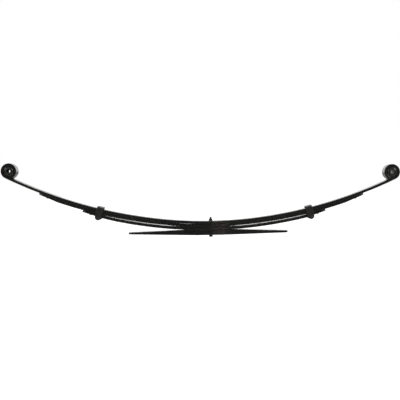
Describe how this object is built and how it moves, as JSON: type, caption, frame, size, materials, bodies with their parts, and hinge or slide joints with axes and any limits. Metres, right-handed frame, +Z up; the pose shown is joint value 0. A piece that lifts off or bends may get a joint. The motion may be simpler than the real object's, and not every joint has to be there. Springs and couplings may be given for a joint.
{
  "type": "leaf spring",
  "caption": "Arched multi-leaf vehicle spring: graduated leaves with rolled bushed eyes, rebound clips and a thick overload leaf held by a centre bolt.",
  "frame": {"origin": "centre-bolt axis at the underside of the overload leaf, where the pack rests on its axle seat", "axes": "+X along the leaves toward the short half's eye, +Y across the leaves along the eye axes, +Z up, away from the axle seat"},
  "size_m": [1.4467, 0.0782, 0.2818],
  "materials": {
    "spring_leaf": "semi-gloss black paint over rolled spring steel",
    "overload_leaf": "semi-gloss black paint, slightly duller than the graduated leaves",
    "spacer": "thin black-painted steel liner",
    "centre_bolt": "black oxide steel",
    "nut": "dark phosphated steel",
    "tip_pad": "dark low-friction plastic",
    "clip": "satin black-painted strap steel",
    "rivet": "painted rivet steel with rubbed edges",
    "bush_steel": "dark painted steel tube",
    "bush_rubber": "black moulded rubber"
  },
  "bodies": {
    "seat": {"main_leaf_seat": "spring_leaf", "second_leaf_seat": "spring_leaf", "third_leaf_seat": "spring_leaf", "upper_spacer": "spacer", "middle_spacer": "spacer", "lower_spacer": "spacer", "overload_leaf": "overload_leaf", "centre_bolt": "centre_bolt", "centre_bolt_nut": "nut"},
    "front_arm": {"main_leaf_front": "spring_leaf", "second_leaf_front": "spring_leaf", "third_leaf_front": "spring_leaf", "second_front_pad": "tip_pad", "third_front_pad": "tip_pad", "front_clip": "clip", "front_clip_rivet": "rivet", "front_bush_shell": "bush_steel", "front_bush_rubber": "bush_rubber"},
    "front_bush_core": {"front_bush_sleeve": "bush_steel"},
    "rear_arm": {"main_leaf_rear": "spring_leaf", "second_leaf_rear": "spring_leaf", "third_leaf_rear": "spring_leaf", "second_rear_pad": "tip_pad", "third_rear_pad": "tip_pad", "rear_clip": "clip", "rear_clip_rivet": "rivet", "rear_bush_shell": "bush_steel", "rear_bush_rubber": "bush_rubber"},
    "rear_bush_core": {"rear_bush_sleeve": "bush_steel"}
  },
  "joints": [
    {"name": "front_bend", "type": "hinge", "parent": "seat", "child": "front_arm", "pos_m": [0.175, 0, 0.02863], "axis": [0, 1, 0], "range_deg": [-3, 13], "stiffness_Nm_per_rad": 5500},
    {"name": "rear_bend", "type": "hinge", "parent": "seat", "child": "rear_arm", "pos_m": [-0.175, 0, 0.02863], "axis": [0, -1, 0], "range_deg": [-3, 13], "stiffness_Nm_per_rad": 5500},
    {"name": "front_bush_twist", "type": "hinge", "parent": "front_arm", "child": "front_bush_core", "pos_m": [0.6604, 0, 0.21612], "axis": [0, 1, 0], "range_deg": [-20, 20], "stiffness_Nm_per_rad": 50},
    {"name": "rear_bush_twist", "type": "hinge", "parent": "rear_arm", "child": "rear_bush_core", "pos_m": [-0.7294, 0, 0.24584], "axis": [0, 1, 0], "range_deg": [-30, 30], "stiffness_Nm_per_rad": 50}
  ]
}
